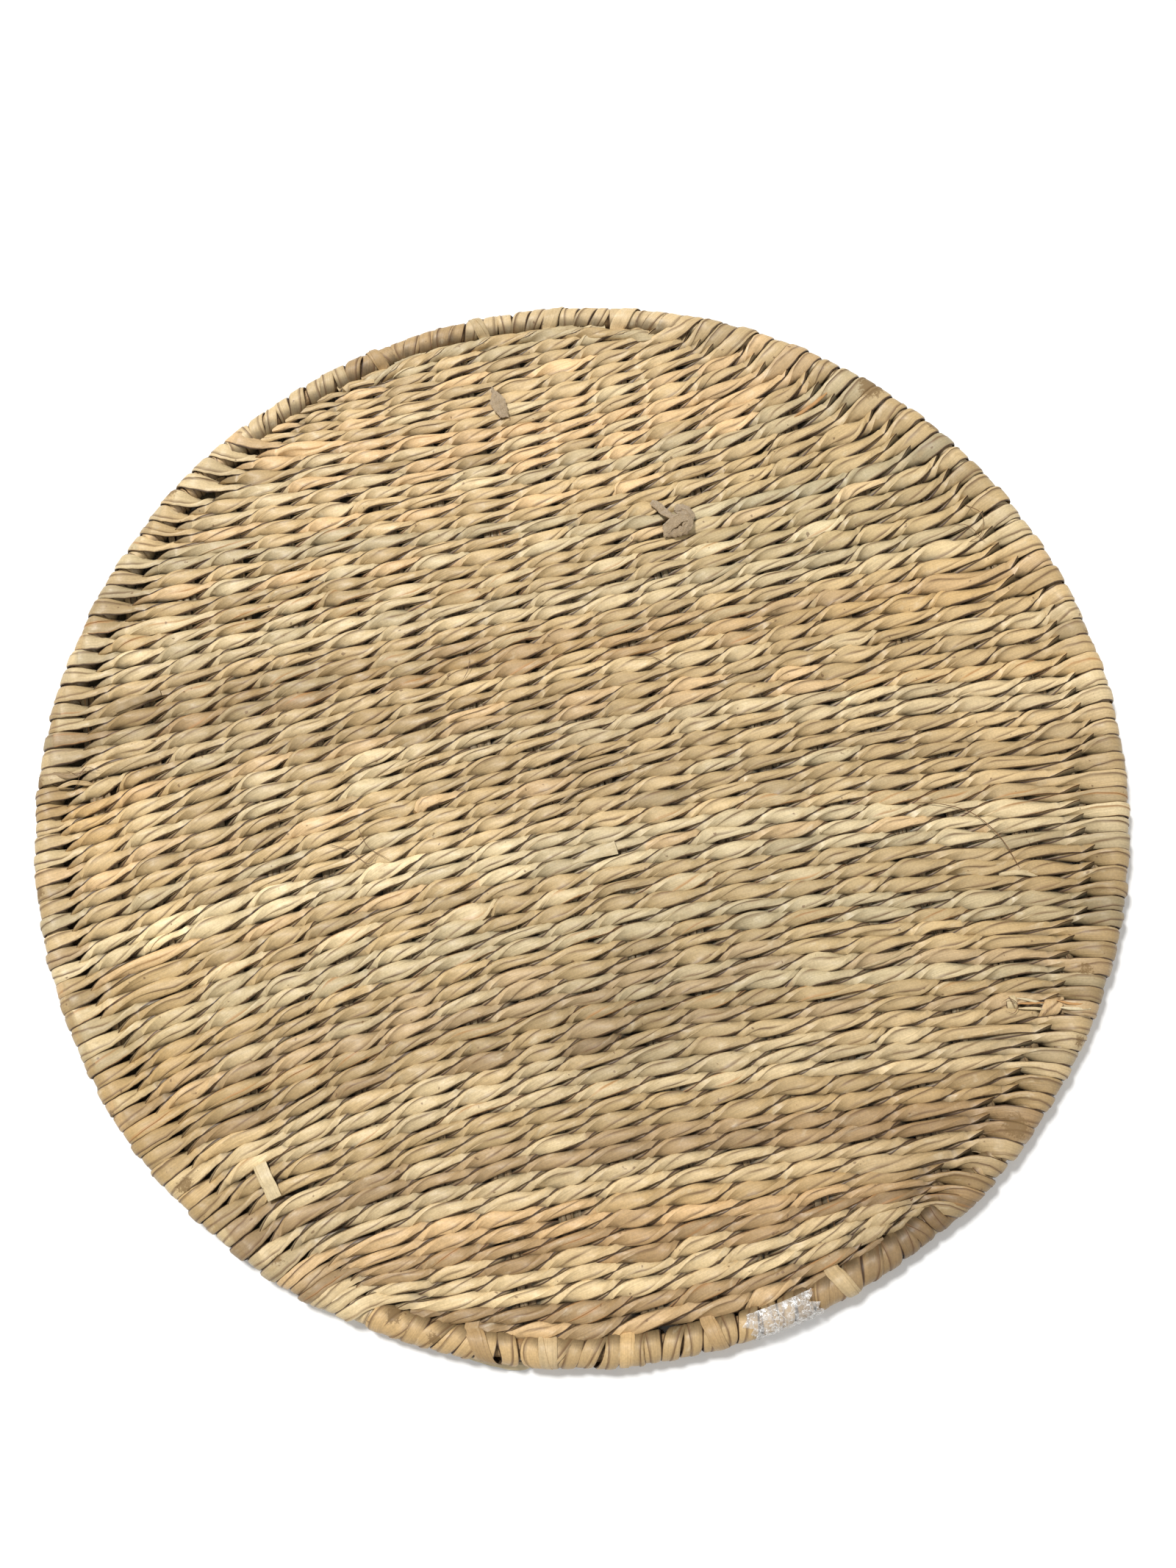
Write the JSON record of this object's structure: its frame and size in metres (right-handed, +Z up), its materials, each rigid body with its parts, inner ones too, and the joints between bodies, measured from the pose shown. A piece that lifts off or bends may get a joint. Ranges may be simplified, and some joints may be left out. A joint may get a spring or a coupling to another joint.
{
  "type": "woven seat pad",
  "caption": "Round flat seat pad, hand-twined from dried leaf strips over hidden stakes and bound round a rigid hoop.",
  "frame": {"origin": "middle of the flat underside of the pad, on the surface it lies on", "axes": "+Z up out of the seat face, +X along the woven rows, +Y along the stakes towards the far rim"},
  "size_m": [0.3999, 0.3999, 0.013],
  "materials": {
    "leaf_strip": "dried leaf strip, satin, straw to tan with grey-green and golden strips",
    "stake_leaf": "dried leaf strip, matte, darker straw",
    "hoop_cane": "bare cane rod",
    "jute": "hairy jute twine",
    "clear_tape": "clear crinkled tape, glossy"
  },
  "bodies": {
    "root": {"rim_hoop": "hoop_cane", "far_binding": "leaf_strip", "near_binding": "leaf_strip", "stake_01": "stake_leaf", "stake_02": "stake_leaf", "stake_03": "stake_leaf", "stake_04": "stake_leaf", "stake_05": "stake_leaf", "stake_06": "stake_leaf", "stake_07": "stake_leaf", "stake_08": "stake_leaf", "stake_09": "stake_leaf", "stake_10": "stake_leaf", "stake_11": "stake_leaf", "stake_12": "stake_leaf", "stake_13": "stake_leaf", "stake_14": "stake_leaf", "stake_15": "stake_leaf", "stake_16": "stake_leaf", "stake_17": "stake_leaf", "stake_18": "stake_leaf", "weft_course_01": "leaf_strip", "weft_course_02": "leaf_strip", "weft_course_03": "leaf_strip", "weft_course_04": "leaf_strip", "weft_course_05": "leaf_strip", "weft_course_06": "leaf_strip", "weft_course_07": "leaf_strip", "weft_course_08": "leaf_strip", "weft_course_09": "leaf_strip", "weft_course_10": "leaf_strip", "weft_course_11": "leaf_strip", "weft_course_12": "leaf_strip", "weft_course_13": "leaf_strip", "weft_course_14": "leaf_strip", "weft_course_15": "leaf_strip", "weft_course_16": "leaf_strip", "weft_course_17": "leaf_strip", "weft_course_18": "leaf_strip", "weft_course_19": "leaf_strip", "weft_course_20": "leaf_strip", "weft_course_21": "leaf_strip", "weft_course_22": "leaf_strip", "weft_course_23": "leaf_strip", "weft_course_24": "leaf_strip", "weft_course_25": "leaf_strip", "weft_course_26": "leaf_strip", "weft_course_27": "leaf_strip", "weft_course_28": "leaf_strip", "weft_course_29": "leaf_strip", "weft_course_30": "leaf_strip", "weft_course_31": "leaf_strip", "weft_course_32": "leaf_strip", "weft_course_33": "leaf_strip", "weft_course_34": "leaf_strip", "weft_course_35": "leaf_strip", "weft_course_36": "leaf_strip", "jute_tab": "jute", "twine_knot": "jute", "tape_patch": "clear_tape"}
  },
  "joints": []
}
